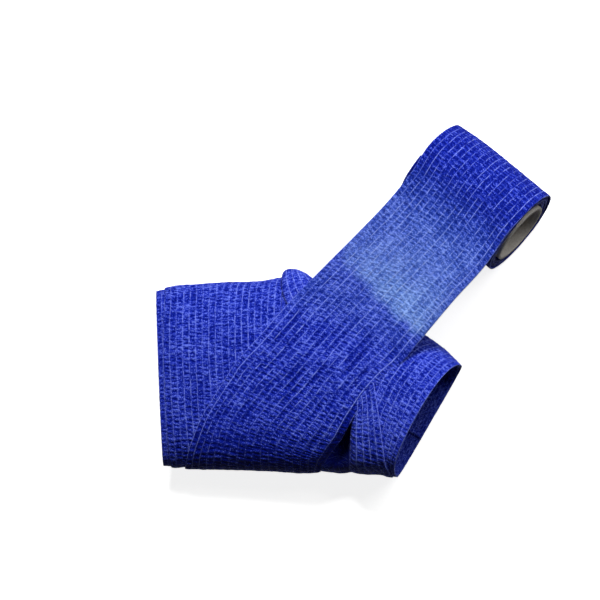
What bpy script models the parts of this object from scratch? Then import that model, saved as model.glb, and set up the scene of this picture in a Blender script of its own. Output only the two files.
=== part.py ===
# Cohesive bandage, partly unwound: a roll on its paperboard core, a free run drawn off the top of
# the roll, and the wound length, which holds the hollow form of a wrapped palm and wrist.
# Everything lies on the plane z = 0, palm side down. X runs from the finger mouth of the wrap to
# the roll, Y from the little-finger border to the thumb side, Z up from the surface.

from collections import namedtuple
from math import cos, hypot, radians, sin

import bpy
from mathutils import Matrix, Vector

MM = 0.001

# Roll, in mm. Angles round it start at the side that faces the wrap, and 90 is its crest.
ROLL_WIDTH = 57.0
ROLL_RADIUS = 23.2
ROLL_CENTRE = (61.2, 50.0)
ROLL_TURN_DEG = -41.0
ROLL_FLAT = 0.4
ROLL_RIM = 0.8
PLY_STEP = 1.3
LEAVE_DEG = 83.0
PINCH_DEPTH = 2.4
PINCH_DEG = 150.0
WINDING_SIDES = 56

# Paperboard core, in mm
CORE_RADIUS = 15.8
CORE_WALL = 1.5
CORE_PROUD = 0.5
CORE_SIDES = 40
SEAT_GAP = 0.3

# Wrap, in mm. Angles round it: 0 is the thumb side, 90 the back, 180 the little-finger border
# and 270 the underside.
WRAP_WALL = 2.2
WRAP_SIDES = 48
UPPER_FULLNESS = 2.25
LOWER_FULLNESS = 3.0
CROWN_SKEW = 0.10
UNDERSIDE_PRESS = 1.5

# One row for each station of the wrap, from the finger mouth to the wrist mouth: where the section
# meets the thumb side and the little-finger border in plan, the height of its crown, the height
# where it is widest, and how far its rim is set back from a level section.
Station = namedtuple("Station", "thumb_x thumb_y little_x little_y top waist lean")
STATIONS = [Station(*row) for row in (
    (-97.4, 8.5, -93.4, -76.4, 29.0, 12.5, 3.0),
    (-81.6, 11.5, -78.8, -77.3, 31.0, 13.0, 1.0),
    (-64.1, 12.5, -61.2, -77.9, 32.5, 13.5, 0.0),
    (-46.0, 12.5, -42.9, -78.9, 34.0, 14.0, 0.0),
    (-31.2, 14.3, -25.8, -80.2, 35.5, 14.5, 0.0),
    (-19.3, 14.5, -12.1, -81.4, 36.5, 15.0, 0.0),
    (-3.1, 9.5, -0.9, -83.2, 37.5, 15.5, 0.0),
    (15.0, -0.5, 7.4, -84.2, 39.0, 16.5, 0.0),
    (33.4, -13.3, 14.2, -84.4, 40.5, 17.5, 0.0),
    (45.4, -22.1, 18.5, -84.6, 41.5, 18.0, -1.0),
    (54.5, -31.2, 21.9, -85.2, 42.5, 18.5, -3.0),
)]
LAST_STATION = float(len(STATIONS) - 1)

# Where the edges of the turns run round the wrap, as stations, one row for each angle.
Edges = namedtuple("Edges", "angle lower_ply palm_turns web_strap wrist_turns")
TURN_EDGES = [Edges(*row) for row in (
    (0, 0.30, 4.10, 5.15, 7.30),
    (30, 0.34, 3.95, 5.25, 7.20),
    (60, 0.28, 3.60, 5.40, 7.20),
    (90, 0.24, 3.40, 5.50, 7.30),
    (120, 0.26, 3.60, 5.40, 8.00),
    (145, 0.28, 3.80, 5.20, 8.90),
    (165, 0.30, 4.00, 5.00, 9.30),
    (200, 0.30, 4.00, 5.00, 8.60),
    (270, 0.30, 4.00, 5.00, 7.60),
    (330, 0.30, 4.10, 5.05, 7.30),
    (360, 0.30, 4.10, 5.15, 7.30),
)]
# One row for each stretch between those edges: its height above the outline, and its columns.
Stretch = namedtuple("Stretch", "name level columns")
STRETCHES = [Stretch(*row) for row in (
    ("lower ply", -1.2, 1),
    ("palm turns", -0.4, 6),
    ("web strap", -1.0, 3),
    ("inner turn", -1.3, 7),
    ("wrist turns", -0.5, 6),
)]
EDGE_RAMP = 0.05
# The web strap stands out in a loose loop on the thumb side.
WEB_LOOP_RISE = 4.6
WEB_LOOP_DEG = 12.0
WEB_LOOP_SPREAD_DEG = 42.0

# The fold beside the band's loose edge: a trough from its apex to the little-finger border.
FoldPoint = namedtuple("FoldPoint", "x y depth half_width")
FOLD = [FoldPoint(*row) for row in (
    (14.0, -42.0, 0.0, 2.5),
    (6.0, -53.0, 1.8, 3.5),
    (-1.4, -65.0, 3.6, 4.6),
    (-3.6, -75.0, 3.8, 4.8),
    (-4.6, -84.0, 0.0, 4.8),
)]

# Thumb hole, in mm: its middle, the plan angle that it faces, and its size.
HOLE_MIDDLE = (1.6, 6.0, 15.0)
HOLE_FACING_DEG = 67.0
HOLE_LENGTH = 32.0
HOLE_HEIGHT = 21.0
HOLE_DEPTH = 30.0
HOLE_SIDES = 28

# Band, in mm
BAND_THICKNESS = 1.0
BAND_LEVEL = 0.7
BAND_COLUMNS = 10
BAND_ROWS_FREE = 12
BAND_ROWS_ON_WRAP = 26
STEP_GAP_DEG = 1.0

# The band across the back and round the border: where its left and right edges lie on the wrap,
# and how far its right edge stands off it.
BandRow = namedtuple("BandRow", "left_station left_angle right_station right_angle right_lift")
BAND_ON_WRAP = [BandRow(*row) for row in (
    (5.00, 28, 7.75, 67, 0.0),
    (4.07, 54, 7.24, 85, 0.0),
    (3.29, 71, 6.57, 102, 0.4),
    (2.75, 85, 6.10, 114, 0.9),
    (2.10, 100, 5.59, 126, 1.3),
    (1.68, 111, 5.30, 133, 1.4),
    (1.27, 129, 5.07, 141, 1.3),
    (0.99, 148, 4.90, 151, 1.1),
    (0.84, 163, 4.80, 164, 0.8),
    (0.75, 184, 4.70, 184, 0.4),
    (0.70, 206, 4.60, 206, 0.0),
)]
LEFT_CONTACT = 1.0

# The free run: how far its edges lie to the right of straight lines from the roll to the wrap.
FreeRow = namedtuple("FreeRow", "left_shift right_shift")
FREE_RUN = [FreeRow(*row) for row in (
    (2.0, -0.6),
    (3.4, 0.9),
    (2.6, 2.0),
    (1.2, 1.6),
    (0.0, 0.0),
)]


def catmull_rom(before, start, end, after, t):
    """One coordinate on the smooth curve from start to end."""
    return 0.5 * (
        2 * start
        + (end - before) * t
        + (2 * before - 5 * start + 4 * end - after) * t * t
        + (3 * start - before - 3 * end + after) * t ** 3
    )


def smooth_row(rows, place):
    """The row at a place between a table's rows, on a smooth curve through them."""
    last = len(rows) - 1
    place = min(max(place, 0.0), float(last))
    index = min(int(place), last - 1)
    start, end = rows[index], rows[index + 1]
    before = rows[index - 1] if index > 0 else [2 * a - b for a, b in zip(start, end)]
    after = rows[index + 2] if index + 2 <= last else [2 * b - a for a, b in zip(start, end)]
    values = zip(before, start, end, after)
    return type(start)(*[catmull_rom(*value, place - index) for value in values])


def edges_at(angle):
    """Stations of the turns' edges at one angle round the wrap."""
    for start, end in zip(TURN_EDGES, TURN_EDGES[1:]):
        if angle <= end.angle:
            part = (angle - start.angle) / (end.angle - start.angle)
            return [a + (b - a) * part for a, b in zip(start[1:], end[1:])]
    return list(TURN_EDGES[-1][1:])


def fold_depth(x, y):
    """How deep the fold beside the band is at one place in plan."""
    deepest = 0.0
    for start, end in zip(FOLD, FOLD[1:]):
        run_x, run_y = end.x - start.x, end.y - start.y
        part = ((x - start.x) * run_x + (y - start.y) * run_y) / (run_x ** 2 + run_y ** 2)
        part = min(max(part, 0.0), 1.0)
        away = hypot(x - start.x - run_x * part, y - start.y - run_y * part)
        half_width = start.half_width + (end.half_width - start.half_width) * part
        depth = start.depth + (end.depth - start.depth) * part
        falloff = max(0.0, 1.0 - (away / (2 * half_width)) ** 2) ** 2
        deepest = max(deepest, depth * falloff)
    return deepest


def web_loop_rise(angle, part):
    """How far the web strap's loop stands out, part of the way across the strap."""
    from_middle = (angle - WEB_LOOP_DEG + 180.0) % 360.0 - 180.0
    round_wrap = max(0.0, 1.0 - (from_middle / WEB_LOOP_SPREAD_DEG) ** 2) ** 2
    return WEB_LOOP_RISE * round_wrap * (1.0 - part ** 2)


def wrap_point(station, angle, level):
    """A point of the wrapped form, in mm, at a level above its outline."""
    row = smooth_row(STATIONS, station)
    breadth = hypot(row.thumb_x - row.little_x, row.thumb_y - row.little_y)
    side_x = (row.thumb_x - row.little_x) / breadth
    side_y = (row.thumb_y - row.little_y) / breadth
    across, rise = cos(radians(angle)), sin(radians(angle))
    fullness = 2.0 / (UPPER_FULLNESS if rise >= 0 else LOWER_FULLNESS)
    sideways = (breadth / 2 + level) * abs(across) ** fullness * (1 if across > 0 else -1)
    if rise >= 0:
        skew = 1 + CROWN_SKEW * across * (1 - abs(across))
        height = row.waist + (row.top + level - row.waist) * rise ** fullness * skew
    else:
        reach = row.waist + level + UNDERSIDE_PRESS
        height = max(row.waist - reach * abs(rise) ** fullness, 0.0)
    set_back = row.lean * abs(height - row.waist) / (row.top - row.waist)
    return Vector((
        (row.thumb_x + row.little_x) / 2 + side_x * sideways + side_y * set_back,
        (row.thumb_y + row.little_y) / 2 + side_y * sideways - side_x * set_back,
        height,
    ))


def roll_frame():
    """The roll's centre, its axis and the direction toward the wrap, in mm."""
    turn = radians(ROLL_TURN_DEG)
    height = ROLL_RADIUS - PLY_STEP * (270 - LEAVE_DEG) / 360 - ROLL_FLAT
    centre = Vector((*ROLL_CENTRE, height))
    return centre, Vector((cos(turn), sin(turn), 0)), Vector((sin(turn), -cos(turn), 0))


def roll_point(along, radius, angle):
    """A point of the roll, in mm, flattened where it lies on the surface."""
    centre, axis, toward = roll_frame()
    out = toward * cos(radians(angle)) + Vector((0, 0, 1)) * sin(radians(angle))
    point = centre + axis * along + out * radius
    return Vector((point.x, point.y, max(point.z, 0.0)))


def material(name, colour, roughness):
    """A plain surface of one colour."""
    made = bpy.data.materials.new(name)
    made.use_nodes = True
    surface = made.node_tree.nodes["Principled BSDF"]
    surface.inputs["Base Color"].default_value = (*colour, 1.0)
    surface.inputs["Roughness"].default_value = roughness
    surface.inputs["Metallic"].default_value = 0.0
    made.diffuse_color = (*colour, 1.0)
    return made


def mesh_object(name, points, faces, surface):
    """An object from points in mm and faces."""
    mesh = bpy.data.meshes.new(name)
    mesh.from_pydata([tuple(point * MM) for point in points], [], faces)
    mesh.materials.append(surface)
    mesh.shade_smooth()
    mesh.set_sharp_from_angle(angle=radians(40))
    made = bpy.data.objects.new(name, mesh)
    bpy.context.scene.collection.objects.link(made)
    return made


def grid_faces(lines, count, closed):
    """Faces between neighbouring lines of count points each. closed joins the last to the first."""
    faces = []
    for line in range(lines if closed else lines - 1):
        here, there = line * count, (line + 1) % lines * count
        for step in range(count - 1):
            faces.append((here + step, there + step, there + step + 1, here + step + 1))
    return faces


def add_thickness(target, thickness, offset):
    """Turns a sheet into a closed solid."""
    solidify = target.modifiers.new("thickness", "SOLIDIFY")
    solidify.thickness = thickness * MM
    solidify.offset = offset
    solidify.use_even_offset = True


def wrap_line(angle):
    """The wrap's outer surface at one angle, from the finger mouth to the wrist mouth."""
    edges = edges_at(angle)
    starts = [0.0] + [edge + EDGE_RAMP for edge in edges]
    ends = [edge - EDGE_RAMP for edge in edges] + [LAST_STATION]
    line = []
    for start, end, stretch in zip(starts, ends, STRETCHES):
        for step in range(stretch.columns + 1):
            part = step / stretch.columns
            level = stretch.level
            if stretch.name == "web strap":
                level += web_loop_rise(angle, part)
            point = wrap_point(start + (end - start) * part, angle, level)
            if point.z > UNDERSIDE_PRESS:
                level -= fold_depth(point.x, point.y)
                point = wrap_point(start + (end - start) * part, angle, level)
            line.append(point)
    return line


def thumb_hole_cutter():
    """An oval bar, level, that faces out of the thumb side."""
    bpy.ops.mesh.primitive_cylinder_add(vertices=HOLE_SIDES, radius=0.5, depth=1.0)
    cutter = bpy.context.object
    cutter.name = "thumb_hole_cutter"
    facing = radians(HOLE_FACING_DEG)
    outward = Vector((cos(facing), sin(facing), 0.0))
    along = Vector((outward.y, -outward.x, 0.0))
    upward = Vector((0.0, 0.0, 1.0))
    turn = Matrix((along, upward, along.cross(upward))).transposed().to_4x4()
    size = Matrix.Diagonal((HOLE_LENGTH, HOLE_HEIGHT, HOLE_DEPTH, 1.0))
    place = Matrix.Translation(HOLE_MIDDLE)
    cutter.data.transform(Matrix.Scale(MM, 4) @ place @ turn @ size)
    cutter.hide_render = True
    cutter.display_type = "WIRE"
    return cutter


def build_wrap(surface):
    """The wound length: a hollow tube with a finger mouth, a wrist mouth and a thumb hole."""
    lines = [wrap_line(360.0 * side / WRAP_SIDES) for side in range(WRAP_SIDES)]
    faces = grid_faces(len(lines), len(lines[0]), True)
    wrap = mesh_object("hand_wrap", sum(lines, []), faces, surface)
    add_thickness(wrap, WRAP_WALL, -1.0)
    hole = wrap.modifiers.new("thumb hole", "BOOLEAN")
    hole.operation = "DIFFERENCE"
    hole.solver = "EXACT"
    hole.object = thumb_hole_cutter()


def winding_radius(along, angle, turned):
    """Radius of the winding: a ply less after each full turn, and pinched at its left corner."""
    toward_left = max(0.0, -along / (ROLL_WIDTH / 2) - 0.2) / 0.8
    near_corner = max(0.0, cos(radians(angle - PINCH_DEG)))
    pinch = PINCH_DEPTH * toward_left ** 2 * near_corner ** 4
    return ROLL_RADIUS - PLY_STEP * turned - pinch


def build_winding(surface):
    """The cloth on the core: one solid, its outer face a ply lower where the free run leaves."""
    half = ROLL_WIDTH / 2
    flush = half - ROLL_RIM
    rings = [(-half, ROLL_RIM)]
    rings += [(flush * part, 0.0) for part in (-1.0, -0.6, -0.2, 0.2, 0.6, 1.0)]
    rings += [(half, ROLL_RIM)]
    bore = [half, -half]
    lines = []
    for side in range(WINDING_SIDES + 1):
        turned = side / WINDING_SIDES
        angle = LEAVE_DEG + 360.0 * turned
        bore_angle = LEAVE_DEG + 360.0 * (side + 0.5) / (WINDING_SIDES + 1)
        line = [
            roll_point(along, winding_radius(along, angle, turned) - rounding, angle)
            for along, rounding in rings
        ]
        line += [roll_point(along, CORE_RADIUS + SEAT_GAP, bore_angle) for along in bore]
        lines.append(line + line[:1])
    solid_from_lines("winding", lines, surface)


def solid_from_lines(name, lines, surface):
    """A closed ring-shaped solid from profile lines that each end where they start."""
    count = len(lines[0]) - 1
    faces = []
    for line in range(len(lines)):
        here, there = line * count, (line + 1) % len(lines) * count
        for step in range(count):
            after = (step + 1) % count
            faces.append((here + step, here + after, there + after, there + step))
    points = [point for line in lines for point in line[:-1]]
    return mesh_object(name, points, faces, surface)


def build_core(surface):
    """The paperboard tube that the cloth is wound on."""
    half = ROLL_WIDTH / 2 + CORE_PROUD
    inner = CORE_RADIUS - CORE_WALL
    profile = ((-half, CORE_RADIUS), (half, CORE_RADIUS), (half, inner), (-half, inner))
    lines = []
    for side in range(CORE_SIDES):
        line = [roll_point(along, radius, 360.0 * side / CORE_SIDES) for along, radius in profile]
        lines.append(line + line[:1])
    solid_from_lines("core", lines, surface)


def band_on_wrap(place, width):
    """The band's middle surface where it lies on the wrap. width is 0 at its left edge, 1 at its
    right edge."""
    row = smooth_row(BAND_ON_WRAP, place)
    station = row.left_station + (row.right_station - row.left_station) * width
    angle = row.left_angle + (row.right_angle - row.left_angle) * width
    return wrap_point(station, angle, BAND_LEVEL + row.right_lift * width ** 4)


def band_line(width):
    """The band's middle surface from the roll to its end, at one place across its width."""
    contact = LEFT_CONTACT * (1.0 - width)
    last = float(len(BAND_ON_WRAP) - 1)
    axis = roll_frame()[1]
    radius = ROLL_RADIUS - BAND_THICKNESS / 2
    start = roll_point(ROLL_WIDTH * (width - 0.5), radius, LEAVE_DEG - STEP_GAP_DEG)
    landing = band_on_wrap(contact, width)
    line = []
    for row in range(BAND_ROWS_FREE):
        part = row / BAND_ROWS_FREE
        shifts = smooth_row(FREE_RUN, part * (len(FREE_RUN) - 1))
        shift = shifts.left_shift + (shifts.right_shift - shifts.left_shift) * width
        line.append(start.lerp(landing, part) + axis * shift)
    for row in range(BAND_ROWS_ON_WRAP + 1):
        place = contact + (last - contact) * row / BAND_ROWS_ON_WRAP
        line.append(band_on_wrap(place, width))
    return line


def build_band(surface):
    """The free run from the crest of the roll, over the back and round the border of the wrap."""
    lines = [band_line(column / BAND_COLUMNS) for column in range(BAND_COLUMNS + 1)]
    faces = grid_faces(len(lines), len(lines[0]), False)
    band = mesh_object("loose_band", sum(lines, []), faces, surface)
    add_thickness(band, BAND_THICKNESS, 0.0)


def main():
    for item in list(bpy.data.objects):
        bpy.data.objects.remove(item, do_unlink=True)
    cloth = material("bandage cloth", (0.045, 0.060, 0.470), 0.85)
    paperboard = material("paperboard", (0.560, 0.540, 0.520), 0.90)
    build_wrap(cloth)
    build_band(cloth)
    build_winding(cloth)
    build_core(paperboard)


main()
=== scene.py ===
# The looks of a cohesive bandage, partly unwound: a band drawn off its roll, and the turns that
# make the hollow wrap. Shapes are worked out in millimetres.
from math import cos, radians, sin

import bpy
import numpy as np
from mathutils import Matrix, Vector


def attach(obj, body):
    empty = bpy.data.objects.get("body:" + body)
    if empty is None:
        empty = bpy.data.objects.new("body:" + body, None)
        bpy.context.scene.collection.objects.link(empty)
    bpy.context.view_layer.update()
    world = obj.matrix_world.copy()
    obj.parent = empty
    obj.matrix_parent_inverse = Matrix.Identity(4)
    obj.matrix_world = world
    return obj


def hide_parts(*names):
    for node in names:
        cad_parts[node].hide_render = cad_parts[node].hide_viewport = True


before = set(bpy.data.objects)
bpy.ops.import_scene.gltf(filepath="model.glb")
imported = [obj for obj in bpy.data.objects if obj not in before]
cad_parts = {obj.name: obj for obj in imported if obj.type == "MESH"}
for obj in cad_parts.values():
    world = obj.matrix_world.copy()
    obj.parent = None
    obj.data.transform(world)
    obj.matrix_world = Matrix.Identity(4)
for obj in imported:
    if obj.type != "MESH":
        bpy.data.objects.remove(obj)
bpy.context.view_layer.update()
bpy.ops.object.select_all(action="DESELECT")
print("frame loaded")

mm = 0.001  # in metres

# Camera: nearly square above the back of the wrap
camera = {
    "target": (-22.6, 0.5, 30.0),
    "tilt": 13.0,  # degrees off plumb
    "toward": (0.763, -0.647),  # the way it leans, in plan
    "distance": 1400.0,
    "lens": 175.0,
    "sensor": 36.0,
    "seesTo": 20.0,  # metres
}

# The wound form. Stations along it: 0 at the palm's mouth, 10 at the wrist's. Angles round it:
# 0 thumb side, 90 back, 180 outer border, 270 underside.
wrapForm = {
    # thumb side x and y, outer border x and y, crown height, height where widest, rim set back
    "stations": [
        (-97.4, 8.5, -93.4, -76.4, 29.0, 12.5, 3.0),
        (-81.6, 11.5, -78.8, -77.3, 31.0, 13.0, 1.0),
        (-64.1, 12.5, -61.2, -77.9, 32.5, 13.5, 0.0),
        (-46.0, 12.5, -42.9, -78.9, 34.0, 14.0, 0.0),
        (-31.2, 14.3, -25.8, -80.2, 35.5, 14.5, 0.0),
        (-19.3, 14.5, -12.1, -81.4, 36.5, 15.0, 0.0),
        (-3.1, 9.5, -0.9, -83.2, 37.5, 15.5, 0.0),
        (15.0, -0.5, 7.4, -84.2, 39.0, 16.5, 0.0),
        (33.4, -13.3, 14.2, -84.4, 40.5, 17.5, 0.0),
        (45.4, -22.1, 18.5, -84.6, 41.5, 18.0, -1.0),
        (54.5, -31.2, 21.9, -85.2, 42.5, 18.5, -3.0),
    ],
    "upperFullness": 2.25,  # 2 is an ellipse, and more is squarer
    "lowerFullness": 3.0,
    "crownSkew": 0.10,  # how much higher it is toward the thumb side
    "press": 1.5,  # how far the underside is pressed flat
    "lowest": 0.4,  # height of the lowest cloth's middle
    # the trough beside the band's loose edge: x, y, depth, half width
    "fold": [
        (14.0, -42.0, 0.0, 2.5),
        (6.0, -53.0, 1.8, 3.5),
        (-1.4, -65.0, 3.6, 4.6),
        (-3.6, -75.0, 3.8, 4.8),
        (-4.6, -84.0, 0.0, 4.8),
    ],
    "foldFades": (12.0, 14.0),  # no trough below this height, and all of it so much higher
}

# The cloth: elastic threads run lengthwise, and the fleece between them is drawn up into crimps.
cloth = {
    "width": 57.0,
    "gaps": 18,  # columns of fleece between threads
    "cellsPerGap": 4,  # mesh cells across a column
    "crimpSpacing": 2.1,
    "crimpWander": 0.5,
    "stagger": 0.3,  # how far out of step the columns are, in spacings
    "crimpDepth": 0.42,
    "creaseReach": 0.42,
    "pillow": 0.26,  # how far the fleece puffs up between creases
    "pillowReach": 0.8,
    "threadRidge": 0.12,
    "ridgeReach": 0.35,
    "pleatDepth": 0.5,
    # painted shade in the sunk pleats
    "pleatShade": 0.4,
    "fuzz": 0.05,
}
threadPitch = cloth["width"] / cloth["gaps"]


def ramp(value, start, reach):
    # 0 up to start, then 1 from a reach further on; a reach below 0 runs the other way
    return np.clip((value - start) / reach, 0, 1)


def bell(value, centre, reach):
    return np.exp(-((value - centre) / reach) ** 2)


def eased(part):
    # from 0 to 1 with a soft start and a soft end
    return part * part * (3 - 2 * part)


def smoothRows(table, place):
    # values between a table's rows, on a smooth curve through them
    table = np.asarray(table, float)
    last = len(table) - 1
    longer = np.vstack((2 * table[0] - table[1], table, 2 * table[-1] - table[-2]))
    place = np.clip(place, 0.0, last)
    index = np.minimum(place.astype(int), last - 1)
    t = (place - index)[..., None]
    before, start, end, after = (longer[index + step] for step in range(4))
    return 0.5 * (
        2 * start
        + (end - before) * t
        + (2 * before - 5 * start + 4 * end - after) * t ** 2
        + (3 * start - before - 3 * end + after) * t ** 3
    )


def randomAt(i, j, seed):
    # a fixed random number from 0 to 1 for each whole place: the far digits of a large sine
    value = np.sin(i * 12.9898 + j * 78.233 + seed * 37.719) * 43758.5453
    return value - np.floor(value)


def smoothNoise(x, y, seed):
    # soft bumps from -1 to 1, the same on every run
    i, j = np.floor(x), np.floor(y)
    u, v = eased(x - i), eased(y - j)
    near = randomAt(i, j, seed) * (1 - u) + randomAt(i + 1, j, seed) * u
    far = randomAt(i, j + 1, seed) * (1 - u) + randomAt(i + 1, j + 1, seed) * u
    return 2 * (near * (1 - v) + far * v) - 1


def wrapPoint(station, angle, level):
    # a place on the wound form, level mm above its outline
    thumbX, thumbY, outerX, outerY, top, waist, lean = np.moveaxis(
        smoothRows(wrapForm["stations"], station), -1, 0)
    breadth = np.hypot(thumbX - outerX, thumbY - outerY)
    sideX, sideY = (thumbX - outerX) / breadth, (thumbY - outerY) / breadth
    across, rise = np.cos(np.radians(angle)), np.sin(np.radians(angle))
    upper = rise >= 0
    fullness = 2.0 / np.where(upper, wrapForm["upperFullness"], wrapForm["lowerFullness"])
    bulge = np.abs(rise) ** fullness
    sideways = (breadth / 2 + level) * np.abs(across) ** fullness * np.sign(across)
    skew = 1 + wrapForm["crownSkew"] * across * (1 - np.abs(across))
    over = waist + (top + level - waist) * bulge * skew
    under = waist - (waist + level + wrapForm["press"]) * bulge
    under = np.maximum(under, np.maximum(wrapForm["lowest"], -level))
    height = np.where(upper, over, under)
    setBack = lean * np.abs(height - waist) / (top - waist)
    return np.stack((
        (thumbX + outerX) / 2 + sideX * sideways + sideY * setBack,
        (thumbY + outerY) / 2 + sideY * sideways - sideX * setBack,
        height,
    ), axis=-1)


def foldDepth(point):
    # how deep the trough beside the band is at a place; there is none under the wrap
    deepest = np.zeros(point.shape[:-1])
    rows = np.asarray(wrapForm["fold"])
    for start, end in zip(rows, rows[1:]):
        run = end[:2] - start[:2]
        part = np.clip((point[..., :2] - start[:2]) @ run / (run @ run), 0, 1)
        away = np.linalg.norm(point[..., :2] - start[:2] - part[..., None] * run, axis=-1)
        depth = start[2] + (end[2] - start[2]) * part
        halfWidth = start[3] + (end[3] - start[3]) * part
        falloff = np.clip(1 - (away / (2 * halfWidth)) ** 2, 0, 1) ** 2
        deepest = np.maximum(deepest, depth * falloff)
    return deepest * (point[..., 2] > wrapForm["press"])


def laidPoint(station, angle, level, follow):
    # a place on the wound form that follows the trough, fully at 1, and less near the border
    point = wrapPoint(station, angle, level)
    depth = foldDepth(point)
    fadeFrom, fadeReach = wrapForm["foldFades"]
    follow = follow * ramp(point[..., 2], fadeFrom, fadeReach) ** 0.7
    return wrapPoint(station, angle, level - depth * follow), depth


# How far round the form each angle is, in mm at its middle, so that threads can be evenly spread
sectionAngles = np.linspace(-180.0, 540.0, 2881)
middleStation = 5.0
sectionLine = wrapPoint(np.full(sectionAngles.shape, middleStation), sectionAngles, 0.0)
sectionSteps = np.linalg.norm(np.diff(sectionLine, axis=0), axis=-1)
sectionRound = np.concatenate(((0.0,), np.cumsum(sectionSteps)))


def roundAt(angle):
    return np.interp(angle, sectionAngles, sectionRound)


def angleAt(roundPlace):
    return np.interp(roundPlace, sectionRound, sectionAngles)


def ribbonPlace(rows, place, width):
    # station, angle and what else the rows give, across a ribbon from its left edge to its right.
    # Each row: left station, left angle, right station, right angle, and more.
    left, leftAngle, right, rightAngle, *rest = np.moveaxis(smoothRows(rows, place), -1, 0)
    station = left + (right - left) * width
    leftRound, rightRound = roundAt(leftAngle), roundAt(rightAngle)
    angle = angleAt(leftRound + (rightRound - leftRound) * width)
    # on the back it is straight from edge to edge, seen from above
    facing = np.minimum(np.sin(np.radians(leftAngle)), np.sin(np.radians(rightAngle)))
    share = eased(ramp(facing, 0.15, 0.35))
    leftEnd = wrapPoint(left, leftAngle, 0.0)[..., :2]
    rightEnd = wrapPoint(right, rightAngle, 0.0)[..., :2]
    goal = leftEnd + (rightEnd - leftEnd) * width[..., None]
    straightStation, straightAngle = station, np.clip(angle, 12, 168)
    smallStation, smallAngle, leastArea = 0.01, 0.1, 0.02
    for _ in range(7):  # each round comes closer to the goal, in steps that can't run away
        here = wrapPoint(straightStation, straightAngle, 0.0)[..., :2]
        further = wrapPoint(straightStation + smallStation, straightAngle, 0.0)[..., :2]
        perStation = (further - here) / smallStation
        further = wrapPoint(straightStation, straightAngle + smallAngle, 0.0)[..., :2]
        perAngle = (further - here) / smallAngle
        miss = goal - here
        area = perStation[..., 0] * perAngle[..., 1] - perStation[..., 1] * perAngle[..., 0]
        least = leastArea * np.where(area < 0, -1, 1)
        area = np.where(np.abs(area) < leastArea, least, area)
        stepStation = (miss[..., 0] * perAngle[..., 1] - miss[..., 1] * perAngle[..., 0]) / area
        stepAngle = (perStation[..., 0] * miss[..., 1] - perStation[..., 1] * miss[..., 0]) / area
        straightStation = straightStation + np.clip(stepStation, -0.4, 0.4)
        straightAngle = np.clip(straightAngle + np.clip(stepAngle, -8, 8), 5, 175)
    station = station + (straightStation - station) * share
    angle = angle + (straightAngle - angle) * share
    return station, angle, rest


def evenPlaces(pointAt, start, end, rowStep):
    # places from start to end whose rows lie rowStep(place) mm apart, and how far along each is
    samples = 3000
    fine = np.linspace(start, end, samples)
    line = pointAt(fine)
    lengths = np.linalg.norm(np.diff(line, axis=0), axis=-1)
    along = np.concatenate(((0.0,), np.cumsum(lengths)))
    middle = (fine[1:] + fine[:-1]) / 2
    counted = np.concatenate(((0.0,), np.cumsum(lengths / rowStep(middle))))
    rows = np.linspace(0, counted[-1], int(counted[-1]) + 2)
    return np.interp(rows, counted, fine), np.interp(rows, counted, along)


def columnAt(across):
    # the column of fleece that a place is in, and how far across it, from 0 to 1
    column = np.floor(across / threadPitch + 1e-6)
    return column, across / threadPitch - column


def crimps(along, across, seed, amount):
    # the fleece's relief in mm, and how deep in a crease each place is, from 0 to 1
    column, part = columnAt(across)
    spacing = cloth["crimpSpacing"]
    wander = cloth["crimpWander"] * smoothNoise(along / 2.6, across / 1.7, seed)
    place = (along + wander) / spacing
    place = place + cloth["stagger"] * (2 * randomAt(column, column * 0, seed + 1) - 1)
    nearest = np.full(along.shape, 9.0)
    crease = np.zeros(along.shape)
    # a crease strays from its even place, partly with the columns beside it, and it slants
    for step in (-1, 0, 1):
        cell = np.floor(place) + step
        shared = smoothNoise(cell * 1.37, column / 2.6, seed + 3)
        own = 2 * randomAt(cell, column, seed + 5) - 1
        slant = (randomAt(cell, column, seed + 7) - 0.5) * (part - 0.5)
        away = np.abs((place - cell - 0.5 - 0.18 * shared - 0.20 * own) * spacing + 0.8 * slant)
        # some creases cross the whole column, some only a part of it
        middle = 0.5 + 0.5 * (randomAt(cell, column, seed + 13) - 0.5)
        reach = 0.40 + 0.40 * randomAt(cell, column, seed + 15)
        spread = np.exp(-((part - middle) / reach) ** 4)
        depth = 0.25 + 0.75 * randomAt(cell, column, seed + 9)
        nearest = np.minimum(nearest, away + 0.5 * (1 - spread))
        crease = np.maximum(crease, depth * spread * bell(away, 0, cloth["creaseReach"]))
    gap = np.sin(np.pi * np.clip(part, 0, 1)) ** 0.6  # 1 in mid column, and 0 at its threads
    puff = 0.55 + 0.9 * randomAt(np.floor(place + 0.5), column, seed + 17)
    fromThread = np.minimum(part, 1 - part) * threadPitch
    height = cloth["pillow"] * puff * (1 - bell(nearest, 0, cloth["pillowReach"])) * gap
    height = height - cloth["crimpDepth"] * crease * gap
    height = height + cloth["threadRidge"] * bell(fromThread, 0, cloth["ridgeReach"])
    height = height + cloth["fuzz"] * smoothNoise(along / 0.8, across / 1.0, seed + 19)
    return height * amount, crease * gap ** 0.6 * amount


def pleats(along, across, seed):
    # how far some columns sink between their threads, from 0 to 1
    column, part = columnAt(across)
    sunk = smoothNoise(column * 1.31 + 0.4, along / 15.0 + 7.7 * column, seed + 21)
    sunk = np.clip(0.3 + 1.1 * sunk, 0, 1)
    valley = np.clip(np.sin(np.pi * np.clip(part, 0, 1) ** 0.62), 0, 1) ** 1.2
    return sunk * valley


def surfaceNormals(points):
    down = np.gradient(points, axis=0)
    side = np.gradient(points, axis=1)
    normal = np.cross(side, down)
    return normal / np.maximum(np.linalg.norm(normal, axis=-1, keepdims=True), 1e-9)


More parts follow.
